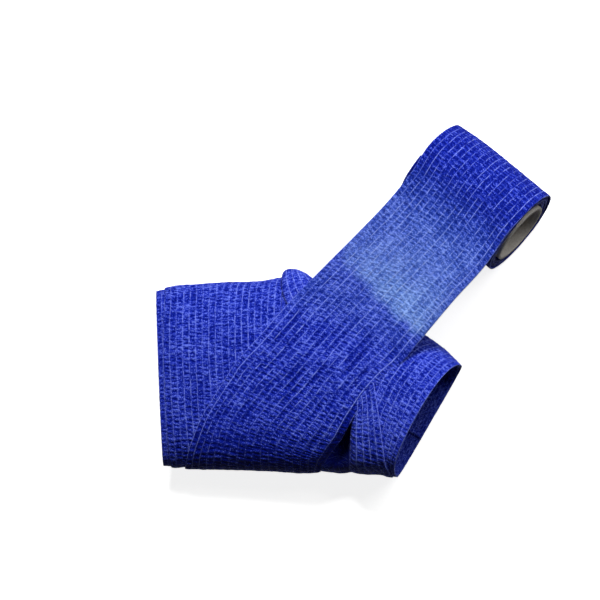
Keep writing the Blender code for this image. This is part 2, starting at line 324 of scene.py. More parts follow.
def makeSheet(name, points, along, across, marks, thickness, seed, flip):
    # a sheet through a grid of points, with its place on the cloth as a UV map in mm; the seed
    # moves that place a whole number of columns, so that no two sheets show the same fleece
    rows, columns = points.shape[:2]
    across = across + seed * 10 * threadPitch
    bpy.ops.mesh.primitive_grid_add(x_subdivisions=columns - 1, y_subdivisions=rows - 1)
    sheet = bpy.context.object
    sheet.name = name
    mesh = sheet.data
    mesh.name = name
    mesh.vertices.foreach_set("co", (points * mm).astype(np.float32).ravel())
    corners = np.empty(len(mesh.loops), np.int32)
    mesh.loops.foreach_get("vertex_index", corners)
    place = np.stack((across, along), axis=-1).reshape(-1, 2)[corners]
    mesh.uv_layers[0].name = "clothPlace"
    mesh.uv_layers[0].data.foreach_set("uv", place.astype(np.float32).ravel())
    for mark, values in marks.items():
        layer = mesh.attributes.new(mark, "FLOAT", "POINT")
        layer.data.foreach_set("value", values.astype(np.float32).ravel())
    if flip:  # where across and along turn the other way, seen from outside
        mesh.flip_normals()
    mesh.update()
    bpy.ops.object.shade_smooth()
    solidify = sheet.modifiers.new("thickness", "SOLIDIFY")
    solidify.thickness = thickness * mm
    solidify.offset = 0.0
    bpy.ops.object.modifier_apply(modifier="thickness")
    return sheet


def finishPiece(piece, material, node):
    piece.data.materials.clear()
    piece.data.materials.append(material)
    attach(piece, "root")
    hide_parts(node)
    piece.select_set(False)


# Materials

def linear(hexColour):
    # an sRGB hex colour as linear values
    values = [int(hexColour[i:i + 2], 16) / 255 for i in (1, 3, 5)]
    values = [v / 12.92 if v <= 0.04045 else ((v + 0.055) / 1.055) ** 2.4 for v in values]
    return (*values, 1.0)


def addNode(tree, kind, settings=None, sockets=None):
    # one node, with its settings, and its sockets set or linked
    node = tree.nodes.new(kind)
    for name, value in (settings or {}).items():
        setattr(node, name, value)
    for socket, value in (sockets or {}).items():
        if isinstance(value, bpy.types.NodeSocket):
            tree.links.new(value, node.inputs[socket])
        else:
            node.inputs[socket].default_value = value
    return node


# Crimped nonwoven fleece bonded round elastic threads: matt and fibrous, with painted shade in its
# creases, the threads as fine pale lines. Where stretched, it is paler, a little open, and painted
# as lit from behind.
fleeceLook = {
    # the pale stops: the stretched fleece's paler colour, with painted light shining through it
    # from behind
    "paleBacklitCrease": "#2A4CB0",
    "paleBacklitShade": "#466CCA",
    "paleBacklitBody": "#6488DE",
    "paleBacklitRaised": "#96B8FC",
    # from darkest to lightest: crease is painted shade in the creases, body is the fleece's own
    # colour, and shade and raised paint shade and light onto its tufts
    "crease": "#000E7C",
    "shade": "#0820A0",
    "body": "#283AC2",
    "raised": "#6A7EF0",
    "tonesAt": (0.32, 0.62),  # where shade and body lie between the darkest and the lightest
    "thread": "#8E9FFE",
    "paleBacklitThread": "#AFC8FF",
    "threadEdges": (0.015, 0.08),  # each side of its middle, in columns: 0.05 and 0.25 mm
    "roughness": 0.9,
    "sheen": 0.03,
    "sheenRoughness": 0.4,
    "sheenTint": "#C9D2FF",
    "specular": 0.08,
}


def fleeceMaterial(name, threadShow, seeThrough):
    # patterns read the clothPlace UV map, in mm; a colour Mix takes its colours at 6 and 7
    look = fleeceLook
    material = bpy.data.materials.new(name)
    material.use_nodes = True
    tree = material.node_tree
    surface = tree.nodes["Principled BSDF"]
    surface.inputs["Roughness"].default_value = look["roughness"]
    surface.inputs["Sheen Weight"].default_value = look["sheen"]
    surface.inputs["Sheen Roughness"].default_value = look["sheenRoughness"]
    surface.inputs["Sheen Tint"].default_value = linear(look["sheenTint"])
    surface.inputs["Specular IOR Level"].default_value = look["specular"]

    place = addNode(tree, "ShaderNodeUVMap", {"uv_map": "clothPlace"}).outputs["UV"]
    parts = addNode(tree, "ShaderNodeSeparateXYZ", sockets={0: place})
    across, along = parts.outputs["X"], parts.outputs["Y"]

    # threads wander by up to 0.3 mm, and each is seen more or less, in runs of about 4 mm
    slow = addNode(tree, "ShaderNodeVectorMath", {"operation": "MULTIPLY"},
                   {0: place, 1: (0.03, 0.09, 0.0)}).outputs[0]
    drift = addNode(tree, "ShaderNodeTexNoise", {"noise_dimensions": "2D"},
                    {"Vector": slow, "Scale": 1.0, "Detail": 1.0}).outputs["Fac"]
    drift = addNode(tree, "ShaderNodeMath", {"operation": "MULTIPLY_ADD"},
                    {0: drift, 1: 0.6, 2: -0.3}).outputs[0]
    moved = addNode(tree, "ShaderNodeMath", {"operation": "ADD"}, {0: across, 1: drift}).outputs[0]
    gapPlace = addNode(tree, "ShaderNodeMath", {"operation": "DIVIDE"},
                       {0: moved, 1: threadPitch}).outputs[0]
    fromThread = addNode(tree, "ShaderNodeMath", {"operation": "PINGPONG"},
                         {0: gapPlace, 1: 0.5}).outputs[0]
    edgeStart, edgeEnd = look["threadEdges"]
    line = addNode(tree, "ShaderNodeMapRange", {"interpolation_type": "SMOOTHSTEP"},
                   {"Value": fromThread, "From Min": edgeStart, "From Max": edgeEnd,
                    "To Min": 1.0, "To Max": 0.0}).outputs[0]
    number = addNode(tree, "ShaderNodeMath", {"operation": "ROUND"}, {0: gapPlace}).outputs[0]
    chance = addNode(tree, "ShaderNodeTexWhiteNoise", {"noise_dimensions": "1D"},
                     {"W": number}).outputs["Value"]
    numberUp = addNode(tree, "ShaderNodeMath", {"operation": "MULTIPLY"},
                       {0: number, 1: 5.3}).outputs[0]
    alongSlow = addNode(tree, "ShaderNodeMath", {"operation": "MULTIPLY"},
                        {0: along, 1: 0.24}).outputs[0]
    threadRun = addNode(tree, "ShaderNodeCombineXYZ", sockets={0: numberUp, 1: alongSlow})
    patchy = addNode(tree, "ShaderNodeTexNoise", {"noise_dimensions": "2D"},
                     {"Vector": threadRun.outputs[0], "Scale": 1.0, "Detail": 2.0}).outputs["Fac"]
    patchy = addNode(tree, "ShaderNodeMapRange", {},
                     {"Value": patchy, "From Min": 0.40, "From Max": 0.58,
                      "To Min": 0.08, "To Max": 1.0}).outputs[0]
    chance = addNode(tree, "ShaderNodeMapRange", {},
                     {"Value": chance, "To Min": 0.22 * threadShow,
                      "To Max": 0.92 * threadShow}).outputs[0]
    seen = addNode(tree, "ShaderNodeMath", {"operation": "MULTIPLY"},
                   {0: patchy, 1: chance}).outputs[0]
    bold = addNode(tree, "ShaderNodeAttribute", {"attribute_name": "bold"}).outputs["Fac"]
    seen = addNode(tree, "ShaderNodeMath", {"operation": "MULTIPLY_ADD", "use_clamp": True},
                   {0: bold, 1: 0.5, 2: seen}).outputs[0]
    lost = addNode(tree, "ShaderNodeAttribute", {"attribute_name": "threadsLost"}).outputs["Fac"]
    kept = addNode(tree, "ShaderNodeMath", {"operation": "SUBTRACT"}, {0: 1.0, 1: lost}).outputs[0]
    seen = addNode(tree, "ShaderNodeMath", {"operation": "MULTIPLY"}, {0: seen, 1: kept}).outputs[0]
    threadSeen = addNode(tree, "ShaderNodeMath", {"operation": "MULTIPLY"},
                         {0: line, 1: seen}).outputs[0]

    # fleece: tufts about 2 mm wide and 1 mm long, clouds about 9 mm across, and loose fibres
    # about half a millimetre across; real fibres are finer, but wouldn't show
    drawn = addNode(tree, "ShaderNodeVectorMath", {"operation": "MULTIPLY"},
                    {0: place, 1: (0.5, 1.15, 0.0)}).outputs[0]
    tufts = addNode(tree, "ShaderNodeTexNoise", {"noise_dimensions": "2D"},
                    {"Vector": drawn, "Scale": 0.9, "Detail": 3.0, "Roughness": 0.7}).outputs["Fac"]
    clouds = addNode(tree, "ShaderNodeTexNoise", {"noise_dimensions": "2D"},
                     {"Vector": place, "Scale": 0.11, "Detail": 2.0}).outputs["Fac"]
    fibres = addNode(tree, "ShaderNodeTexNoise", {"noise_dimensions": "2D"},
                     {"Vector": place, "Scale": 1.9, "Detail": 1.0}).outputs["Fac"]
    fibres = addNode(tree, "ShaderNodeMapRange", {},
                     {"Value": fibres, "From Min": 0.56, "From Max": 0.72,
                      "To Min": 0.0, "To Max": 0.62}).outputs[0]
    # painted shade: the crease mark pulls the tone down toward the darkest colour
    crease = addNode(tree, "ShaderNodeAttribute", {"attribute_name": "crease"}).outputs["Fac"]
    tone = addNode(tree, "ShaderNodeMapRange", {},
                   {"Value": tufts, "From Min": 0.33, "From Max": 0.68,
                    "To Min": 0.22, "To Max": 0.94}).outputs[0]
    cloudTone = addNode(tree, "ShaderNodeMapRange", {},
                        {"Value": clouds, "From Min": 0.3, "From Max": 0.7,
                         "To Min": -0.12, "To Max": 0.12}).outputs[0]
    tone = addNode(tree, "ShaderNodeMath", {"operation": "ADD"}, {0: tone, 1: cloudTone}).outputs[0]
    tone = addNode(tree, "ShaderNodeMath", {"operation": "MULTIPLY_ADD", "use_clamp": True},
                   {0: crease, 1: -1.2, 2: tone}).outputs[0]
    tone = addNode(tree, "ShaderNodeMath", {"operation": "ADD", "use_clamp": True},
                   {0: tone, 1: fibres}).outputs[0]
    colours = []
    shadeAt, bodyAt = look["tonesAt"]
    # the tone differs at random with the tufts, which also make the bumps, so the ramps paint shade
    # in their hollows and light on their tops
    for dark, shade, body, raised in (("crease", "shade", "body", "raised"),
                                      ("paleBacklitCrease", "paleBacklitShade", "paleBacklitBody", "paleBacklitRaised")):
        tones = addNode(tree, "ShaderNodeValToRGB", sockets={0: tone})
        stops = tones.color_ramp.elements
        stops[0].position, stops[0].color = 0.0, linear(look[dark])
        stops[1].position, stops[1].color = 1.0, linear(look[raised])
        stops.new(shadeAt).color = linear(look[shade])
        stops.new(bodyAt).color = linear(look[body])
        colours.append(tones.outputs["Color"])

    # painted light: the pale patch mark mixes the colours toward the pale ones, as if lit from
    # behind, on paler stretched cloth
    paleBacklit = addNode(tree, "ShaderNodeAttribute", {"attribute_name": "paleBacklit"}).outputs["Fac"]
    stretchedAndBacklit = addNode(tree, "ShaderNodeMix", {"data_type": "RGBA"},
                        {"Factor": paleBacklit, 6: colours[0], 7: colours[1]}).outputs[2]
    threads = addNode(tree, "ShaderNodeMix", {"data_type": "RGBA"},
                      {"Factor": paleBacklit, 6: linear(look["thread"]),
                       7: linear(look["paleBacklitThread"])}).outputs[2]
    coloured = addNode(tree, "ShaderNodeMix", {"data_type": "RGBA"},
                       {"Factor": threadSeen, 6: stretchedAndBacklit, 7: threads}).outputs[2]
    tree.links.new(coloured, surface.inputs["Base Color"])

    height = addNode(tree, "ShaderNodeMath", {"operation": "MULTIPLY_ADD"},
                     {0: line, 1: 0.2, 2: tufts}).outputs[0]
    bump = addNode(tree, "ShaderNodeBump", {}, {"Height": height, "Strength": 0.8,
                                                "Distance": 0.3 * mm}).outputs["Normal"]
    tree.links.new(bump, surface.inputs["Normal"])
    if seeThrough:
        # the stretched fleece opens between its fibres
        holes = addNode(tree, "ShaderNodeMapRange", {},
                        {"Value": tufts, "From Min": 0.58, "From Max": 0.38,
                         "To Min": 0.0, "To Max": 0.22}).outputs[0]
        sheer = addNode(tree, "ShaderNodeAttribute", {"attribute_name": "sheer"}).outputs["Fac"]
        opened = addNode(tree, "ShaderNodeMath", {"operation": "MULTIPLY"},
                         {0: holes, 1: sheer}).outputs[0]
        alpha = addNode(tree, "ShaderNodeMath", {"operation": "SUBTRACT"},
                        {0: 1.0, 1: opened}).outputs[0]
        tree.links.new(alpha, surface.inputs["Alpha"])
    return material


fleece = fleeceMaterial("crimped fleece bandage", 0.72, False)
fleeceStretched = fleeceMaterial("crimped fleece bandage, stretched", 0.95, True)

# Grey paperboard, spiral wound and uncoated: matt, with flecks of fibre about a millimetre long
boardLook = {
    "grey": "#E6E1DA",
    "dark": "#C4BDB4",
    "fleckScale": 900.0,  # for each metre
    "roughness": 0.9,
    "specular": 0.3,
}


def boardMaterial():
    look = boardLook
    material = bpy.data.materials.new("spiral-wound paperboard")
    material.use_nodes = True
    tree = material.node_tree
    surface = tree.nodes["Principled BSDF"]
    surface.inputs["Roughness"].default_value = look["roughness"]
    surface.inputs["Specular IOR Level"].default_value = look["specular"]
    place = addNode(tree, "ShaderNodeTexCoord").outputs["Object"]
    fibres = addNode(tree, "ShaderNodeTexNoise", {},
                     {"Vector": place, "Scale": look["fleckScale"], "Detail": 4.0,
                      "Roughness": 0.7})
    tones = addNode(tree, "ShaderNodeValToRGB", sockets={0: fibres.outputs["Fac"]})
    stops = tones.color_ramp.elements
    stops[0].position, stops[0].color = 0.3, linear(look["dark"])
    stops[1].position, stops[1].color = 0.7, linear(look["grey"])
    tree.links.new(tones.outputs["Color"], surface.inputs["Base Color"])
    bump = addNode(tree, "ShaderNodeBump", {}, {"Height": fibres.outputs["Fac"],
                                                "Strength": 0.3, "Distance": 0.1 * mm})
    tree.links.new(bump.outputs["Normal"], surface.inputs["Normal"])
    return material


board = boardMaterial()
print("materials made")


# Turns round the palm and wrist, from the innermost to the outermost
baseTurns = {
    # left station and angle, right station and angle, how far above the wound form
    "rows": [
        (0.12, -100, 9.9, -100, -2.75),
        (0.12, -60, 9.9, -60, -1.95),
        (0.12, 268, 9.9, 268, -1.95),
    ],
    "gaps": 45,  # columns of fleece in its width
    "cellsPerGap": 2,
    "fineRow": 1.1,  # how far apart its mesh rows are where it shows
    "coarseRow": 1.6,
    "thickness": 0.7,
    "relief": 0.7,  # how much of the full crimp it has
    "ripple": 0.0,
    "seed": 11,
    "follow": 3.0,  # how far it sinks into the trough, and how much painted shade it gets there
    "pleats": 0.0,  # how much some of its columns sink
    "bold": 0.0,  # how much more its threads are seen
    "creaseShading": 1.0,  # how much painted shade its creases get
    # where it stands off or draws in: station and its reach, angle and its reach, how far
    "swells": [(5.35, 0.75, 184, 26, 1.2), (7.0, 1.3, 184, 26, -1.4), (0.0, 0.8, 12, 44, 1.1)],
    "flat": (142, 213),  # width and length as cut, the width that shows of a wider turn
}
lowerTurns = {
    "rows": [
        (0.02, -104, 1.55, -104, -1.3),
        (0.02, -60, 1.55, -60, -1.15),
        (0.02, 264, 1.55, 264, -1.15),
    ],
    "gaps": 8,
    "cellsPerGap": 4,
    "fineRow": 0.5,
    "coarseRow": 1.2,
    "thickness": 0.6,
    "relief": 0.75,
    "ripple": 0.0,
    "seed": 23,
    "follow": 1.0,
    "pleats": 0.3,
    "bold": 0.1,
    "creaseShading": 1.0,
    "swells": [(0.0, 0.6, 184, 26, 1.0), (0.0, 0.8, 12, 44, 1.4)],
    "flat": (25, 205),
}
palmTurns = {
    "rows": [
        (0.36, -108, 3.95, -108, -1.2),
        (0.34, -70, 4.00, -70, -0.5),
        (0.30, 0, 3.95, 0, -0.45),
        (0.34, 30, 3.92, 30, -0.45),
        (0.28, 60, 3.90, 60, -0.45),
        (0.24, 90, 3.90, 90, -0.45),
        (0.26, 120, 3.90, 120, -0.45),
        (0.30, 165, 3.95, 165, -0.45),
        (0.30, 200, 4.00, 200, -0.45),
        (0.34, 262, 4.00, 262, -0.4),
    ],
    "gaps": 18,
    "cellsPerGap": 4,
    "fineRow": 0.45,
    "coarseRow": 1.0,
    "thickness": 0.65,
    "relief": 1.0,
    "ripple": 0.08,
    "seed": 37,
    "follow": 1.0,
    "pleats": 0.25,
    "bold": 0.12,
    "creaseShading": 1.0,
    "swells": [(0.2, 0.5, 184, 26, 0.9), (0.1, 0.9, 12, 44, 1.2)],
    "flat": (59, 205),
}
wristTurns = {
    "rows": [
        (7.25, -104, 9.97, -104, -1.3),
        (7.50, -60, 9.97, -60, -1.1),
        (7.90, -5, 9.97, -8, -1.05),
        (7.82, 23, 9.97, 12, -1.05),
        (7.53, 48, 9.97, 38, -1.05),
        (7.22, 68, 9.97, 62, -1.05),
        (6.85, 85, 9.97, 86, -1.05),
        (6.59, 98, 9.97, 104, -1.05),
        (6.55, 110, 9.97, 120, -1.05),
        (6.60, 125, 9.97, 138, -1.05),
        (6.62, 142, 9.97, 156, -1.15),
        (6.60, 172, 9.97, 178, -1.3),
        (6.90, 215, 9.97, 215, -1.1),
        (7.20, 264, 9.97, 264, -0.6),
    ],
    "gaps": 10,
    "cellsPerGap": 4,
    "fineRow": 0.45,
    "coarseRow": 1.0,
    "thickness": 0.6,
    "relief": 0.9,
    "ripple": 0.12,
    "seed": 53,
    "follow": 1.0,
    "pleats": 0.4,
    "bold": 0.25,
    "creaseShading": 0.75,
    "swells": [(7.0, 1.3, 184, 26, -1.4)],
    "flat": (32, 185),
}
crossStrap = {
    "rows": [
        (4.10, -75, 5.30, -75, -0.9),
        (3.95, -45, 5.00, -45, -0.4),
        (3.85, 2, 4.75, -5, -0.3),
        (3.92, 36, 5.20, 23, -0.3),
        (4.30, 56, 5.60, 38, -0.3),
        (5.00, 70, 6.20, 56, -0.3),
        (5.80, 84, 6.80, 74, -0.3),
        (6.45, 99, 7.25, 89, -0.2),
        (6.42, 114, 7.60, 106, -0.1),
        (6.32, 129, 8.05, 126, -0.1),
        (6.24, 143, 8.60, 146, -0.1),
        (6.10, 165, 9.25, 165, -0.5),
        (6.00, 195, 9.20, 195, -0.6),
        (5.80, 235, 9.00, 235, -0.4),
    ],
    "gaps": 5,
    "cellsPerGap": 4,
    "fineRow": 0.45,
    "coarseRow": 0.9,
    "thickness": 0.6,
    "relief": 1.0,
    "ripple": 0.2,
    "seed": 71,
    "follow": 0.0,
    "pleats": 0.3,
    "bold": 0.5,
    "creaseShading": 0.45,
    "swells": [(7.0, 1.3, 184, 26, -1.4)],
    # the loop that stands off the thumb side: how far, about which angle, and its reach
    "loopRise": 3.7,
    "loopAngle": 10.0,
    "loopReach": 44.0,
    # its left edge curls into the trough: how far, about which angle, its reach, and its width
    "tuck": 2.6,
    "tuckAngle": 140.0,
    "tuckReach": 46.0,
    "tuckWidth": 0.22,
    "flat": (16, 165),
}
allTurns = {
    "baseTurns": baseTurns,
    "lowerTurns": lowerTurns,
    "palmTurns": palmTurns,
    "wristTurns": wristTurns,
    "crossStrap": crossStrap,
}


def wrapTurns(name, turns):
    # width is 0 at the left edge and 1 at the right, and place runs from row to row
    rows = turns["rows"]
    last = len(rows) - 1.0

    def middle(place):
        station, angle, (level,) = ribbonPlace(rows, place, np.full(place.shape, 0.5))
        return wrapPoint(station, angle, level)

    def rowStep(place):
        angle = ribbonPlace(rows, place, np.full(place.shape, 0.5))[1]
        seen = (angle > -25) & (angle < 205)  # all but the underside
        return np.where(seen, turns["fineRow"], turns["coarseRow"])

    places, along = evenPlaces(middle, 0.0, last, rowStep)
    part = np.linspace(0, 1, turns["gaps"] * turns["cellsPerGap"] + 1)
    place, width = np.meshgrid(places, part, indexing="ij")
    alongGrid, across = np.meshgrid(along, part * turns["gaps"] * threadPitch, indexing="ij")
    station, angle, (level,) = ribbonPlace(rows, place, width)
    if "loopRise" in turns:
        around = np.clip(1 - ((angle - turns["loopAngle"]) / turns["loopReach"]) ** 2, 0, 1) ** 2
        crown = (1 - (1 - width) ** 14) * (1 - width ** 3)  # steep at the left, easy to the right
        level = level + turns["loopRise"] * around * crown
    if "tuck" in turns:
        beside = bell(angle, turns["tuckAngle"], turns["tuckReach"])
        curled = np.clip(1 - width / turns["tuckWidth"], 0, 1) ** 2
        level = level - turns["tuck"] * beside * curled
    for centre, reach, towards, spread, swell in turns["swells"]:
        beside = np.exp(-((station - centre) / reach) ** 4 - ((angle - towards) / spread) ** 4)
        level = level + swell * beside
    level = level + turns["ripple"] * smoothNoise(across / 5.0, alongGrid / 60.0, turns["seed"])
    points, depth = laidPoint(station, angle, level, turns["follow"])
    height, crease = crimps(alongGrid, across, turns["seed"], turns["relief"])
    sunk = turns["pleats"] * pleats(alongGrid, across, turns["seed"])
    height = height - cloth["pleatDepth"] * sunk
    points = points - surfaceNormals(points) * height[..., None]
    points[..., 2] = np.maximum(points[..., 2], turns["thickness"] / 2)
    # painted shade in the creases and the sunk pleats, scaled for each piece
    crease = turns["creaseShading"] * (crease + cloth["pleatShade"] * sunk)
    crease = crease + turns["follow"] * depth / 5  # painted shade down in the trough
    marks = {"crease": np.clip(crease, 0, 1), "bold": np.full(across.shape, turns["bold"])}
    return makeSheet(name, points, alongGrid, across, marks, turns["thickness"],
                     turns["seed"], True)


# Thumb hole: a level oval through the innermost turns
thumbHole = {
    "centre": (1.6, 6.0, 15.0),
    "size": (32.0, 21.0, 30.0),  # long, high, and deep enough to pass the cloth
    "faces": 67.0,  # degrees, in plan
}


def holeCutter():
    bpy.ops.mesh.primitive_cylinder_add(vertices=64, radius=0.5, depth=1.0)
    cutter = bpy.context.object
    faces = radians(thumbHole["faces"])
    outward = Vector((cos(faces), sin(faces), 0.0))
    sideways = Vector((outward.y, -outward.x, 0.0))
    upward = Vector((0.0, 0.0, 1.0))
    turn = Matrix((sideways, upward, sideways.cross(upward))).transposed().to_4x4()
    size = Matrix.Diagonal((*thumbHole["size"], 1.0))
    place = Matrix.Translation(thumbHole["centre"])
    cutter.data.transform(Matrix.Scale(mm, 4) @ place @ turn @ size)
    return cutter


wrapPieces = {}
for name, turns in allTurns.items():
    wrapPieces[name] = wrapTurns(name, turns)
    wrapPieces[name].select_set(False)
    print(name, "made,", len(wrapPieces[name].data.polygons), "faces")

cutter = holeCutter()
cutter.select_set(False)
bpy.context.view_layer.objects.active = wrapPieces["baseTurns"]
hole = wrapPieces["baseTurns"].modifiers.new("thumb hole", "BOOLEAN")
hole.operation = "DIFFERENCE"
hole.object = cutter
bpy.ops.object.modifier_apply(modifier="thumb hole")
bpy.data.objects.remove(cutter, do_unlink=True)

for name, turns in allTurns.items():
    finishPiece(wrapPieces[name], fleece, "hand_wrap")
print("turns finished")


# Roll. Angles round it start at the side that faces the wrap, and 90 is its crest.
roll = {
    "centre": (61.2, 50.0, 22.125),
    "turn": -41.0,  # degrees, the way its axis points in plan
    "radius": 23.2,
    "plyStep": 1.3,  # how much nearer the core each turn lies
    "plyThickness": 1.0,
    "leave": 83.0,  # the angle where the band leaves
    "join": 1.0,  # degrees between the end of one sheet and the start of the next
    # how far its left end is squeezed, about which angle, and from where along its half width
    "pinch": 2.4,
    "pinchAngle": 150.0,
    "pinchFrom": 0.2,
    "edgeWander": 0.45,  # how far its turns' edges draw in, here and there
    "crimpSpacing": 1.9,
    # where its mesh columns lie, from an end to the middle
    "columns": (0, 0.4, 0.9, 1.6, 2.6, 4, 7, 12, 20, 28.5),
    "rowStep": 1.3,
    "seed": 5,
    "coreRadius": 15.8,
    "coreWall": 1.5,
    "coreLength": 58.0,
    "coreGap": 0.3,  # between it and its first turn
    "rimRadius": 0.25,
}
rollAxis = np.array((cos(radians(roll["turn"])), sin(radians(roll["turn"])), 0.0))
towardWrap = np.array((sin(radians(roll["turn"])), -cos(radians(roll["turn"])), 0.0))


def rollPoint(side, angle, thickness):
    # a place on the winding, side mm from the roll's middle; a ply deeper after each turn
    turned = np.maximum(angle - roll["leave"], 0.0) / 360
    towardLeft = np.clip(-side / (cloth["width"] / 2) - roll["pinchFrom"], 0, 1)
    towardLeft = towardLeft / (1 - roll["pinchFrom"])
    nearCorner = np.clip(np.cos(np.radians(angle - roll["pinchAngle"])), 0, 1)
    radius = roll["radius"] - roll["plyThickness"] / 2 - roll["plyStep"] * turned
    radius = radius - roll["pinch"] * towardLeft ** 2 * nearCorner ** 4
    angle = np.radians(angle)[..., None]
    out = towardWrap * np.cos(angle) + np.array((0.0, 0.0, 1.0)) * np.sin(angle)
    point = np.array(roll["centre"]) + rollAxis * side[..., None] + out * radius[..., None]
    point[..., 2] = np.maximum(point[..., 2], thickness / 2)
    return point


# Band: one turn round the roll, the free run, and its way over the back and round the border.
# Stage 0 to 1 goes round the roll, 1 to 2 is the free run, and 2 to 3 lies on the wrap.
band = {
    "thickness": 0.75,
    "level": 0.7,  # how far above the wound form it lies
    "leftContact": 1.0,  # the row where its left edge lands, and the right edge lands on row 0
    # left station and angle, right station and angle, how far the right margin stands off, how
    # far its edge curls down, and how far the middle threads crowd to the left
    "onWrap": [
        (5.00, 28, 7.90, 68, 0.0, 1.4, 0.00),
        (4.06, 54, 7.42, 85, 0.0, 1.45, 0.00),
        (3.29, 71, 6.77, 103, 0.2, 1.1, 0.01),
        (2.66, 84, 6.21, 120, 0.7, 1.4, 0.03),
        (2.20, 95, 5.85, 132, 1.1, 2.2, 0.06),
        (1.86, 105, 5.54, 141, 1.1, 2.4, 0.075),
        (1.55, 115, 5.27, 150, 0.8, 2.2, 0.07),
        (1.28, 128, 5.06, 158, 0.4, 1.8, 0.055),
        (1.04, 143, 4.90, 166, 0.1, 1.5, 0.04),
        (0.88, 162, 4.80, 175, 0.0, 1.3, 0.02),
        (0.76, 184, 4.70, 188, 0.0, 1.2, 0.00),
        (0.70, 206, 4.62, 206, 0.0, 1.0, 0.00),
    ],
    "marginFrom": 0.94,  # of its width: past the last thread
    "marginFold": 1.9,  # how much steeper the curl is there
    # how far the edges of the free run lie to the right of straight lines
    "freeRun": [(2.0, -0.6), (3.4, 1.3), (2.6, 0.3), (1.2, 0.0), (0.0, 0.0)],
    "bendPasses": 220,  # how often its two bends are smoothed
    "fineRow": 0.42,
    "coarseRow": 1.0,
    "shows": (0.62, 2.92),  # the stages between which its rows are fine
    "seed": 91,
    # the stage where it is drawn tightest, the reach of that, and how much crimp it loses
    "tightest": 1.55,
    "tightReach": 0.62,
    "crimpLost": 0.62,
    # where along the free run the pale patch ends, at its left and right edge, and how fast it
    # fades
    # toward the roll: stretched cloth, paler, with painted light shining through it from behind
    "paleBacklitEnd": (0.605, 0.785),
    "paleBacklitFade": 0.21,
    "pleats": 0.95,
    # deep pleats where it lands: their place across in threads, stage, reach in stages, depth
    "valleys": [(2.45, 2.06, 0.10, 0.9), (4.45, 2.10, 0.11, 0.8), (7.45, 2.20, 0.10, 0.6)],
    # how much painted shade it takes in its pleats, toward the border, right at it, and in its
    # margin
    "bandPleatShade": 0.36,
    "borderShade": 0.1,
    "rimShade": 0.15,
    "marginShade": 0.3,
}


def bandOnWrap(place, width):
    # place runs from row to row, and width is 0 at the left edge and 1 at the right
    crowd = smoothRows(band["onWrap"], place)[..., 6]
    threadPlace = width - crowd * 4 * width * (1 - width)
    station, angle, (lift, curl, crowd) = ribbonPlace(band["onWrap"], place, threadPlace)
    lift = lift * ramp(width, 0, band["marginFrom"]) ** 4
    fold = ramp(width, band["marginFrom"], 0.06) ** 1.2 * ramp(curl, 1.1, 1)
    curl = curl * ramp(width, 0.8, 0.2) ** 2 + band["marginFold"] * fold
    return wrapPoint(station, angle, band["level"] + lift - curl)


def bandPoint(stage, width):
    side = cloth["width"] * (width - 0.5)
    lastAngle = roll["leave"] - roll["join"]
    angle = lastAngle + (360 + roll["join"]) * (1 - np.clip(stage, 0, 1))
    onRoll = rollPoint(side, angle, band["thickness"])
    contact = band["leftContact"] * (1 - width)
    lastRow = len(band["onWrap"]) - 1
    onWrap = bandOnWrap(contact + (lastRow - contact) * np.clip(stage - 2, 0, 1), width)
    free = np.clip(stage - 1, 0, 1)
    shifts = smoothRows(band["freeRun"], free * (len(band["freeRun"]) - 1))
    shift = shifts[..., 0] + (shifts[..., 1] - shifts[..., 0]) * width
    leaving = rollPoint(side, np.full(side.shape, lastAngle), band["thickness"])
    landing = bandOnWrap(contact, width)
    onRun = leaving + (landing - leaving) * free[..., None] + rollAxis * shift[..., None]
    stage = stage[..., None]
    return np.where(stage < 1, onRoll, np.where(stage < 2, onRun, onWrap))


def bandRowStep(stage):
    showsFrom, showsTo = band["shows"]
    hidden = (stage < showsFrom) | (stage > showsTo)
    return np.where(hidden, band["coarseRow"], band["fineRow"])


stages, along = evenPlaces(lambda stage: bandPoint(stage, np.full(stage.shape, 0.5)),
                           0.0, 3.0, bandRowStep)
part = np.linspace(0, 1, cloth["gaps"] * cloth["cellsPerGap"] + 1)
stage, width = np.meshgrid(stages, part, indexing="ij")
alongGrid, across = np.meshgrid(along, part * cloth["width"], indexing="ij")
points = bandPoint(stage, width)

# the bends where the band leaves the roll and meets the wrap are soft
softness = bell(stage, 1, 0.10) + bell(stage, 2, 0.14)
softness = np.minimum(softness, 1)[1:-1, :, None]
for _ in range(band["bendPasses"]):
    points[1:-1] += 0.5 * softness * ((points[:-2] + points[2:]) / 2 - points[1:-1])

# calm where it is stretched, strongly crimped where it is relaxed
tight = np.clip(1 - np.abs(stage - band["tightest"]) / band["tightReach"], 0, 1)
calm = tight ** 0.7
unstretchedShade = ramp(stage, 1.3, -0.25)
onBack = ramp(stage, 1.85, 0.25)
pastMiddle = ramp(stage, 2.1, 0.25)
towardBorder = ramp(stage, 2.35, 0.25)
nearLeft = np.clip(1.15 - across / (6.5 * threadPitch), 0, 1)
margin = ramp(width, 0.93, 0.03) * ramp(stage, 2.1, 0.1)
height, crease = crimps(alongGrid, across, band["seed"], 1.0 - band["crimpLost"] * calm)

# some columns sink into pleats once it is on the back, fewer along its left edge and the border
sunk = pleats(alongGrid, across, band["seed"]) * (0.2 + 0.8 * onBack) * (stage > 1)
sunk = sunk * (1 - 0.85 * towardBorder) * np.clip(0.2 + across / (2.5 * threadPitch), 0, 1)
sunk = sunk * (1 - 0.85 * nearLeft * pastMiddle)
threadPlace = across / threadPitch
for place, centre, reach, depth in band["valleys"]:
    valley = np.exp(-((threadPlace - place) / 0.4) ** 2 - ((stage - centre) / reach) ** 2)
    sunk = np.maximum(sunk, depth * valley)
height = height - band["pleats"] * sunk
# painted shade: darker on the roll and just off it, most in its creases, and darker in its pleats,
# toward the border, right at it, and in its curled margin
crease = crease * (1 + 0.8 * unstretchedShade) + 0.2 * unstretchedShade
crease = crease + band["bandPleatShade"] * sunk + band["borderShade"] * towardBorder
crease = crease + band["rimShade"] * towardBorder ** 4 + band["marginShade"] * margin
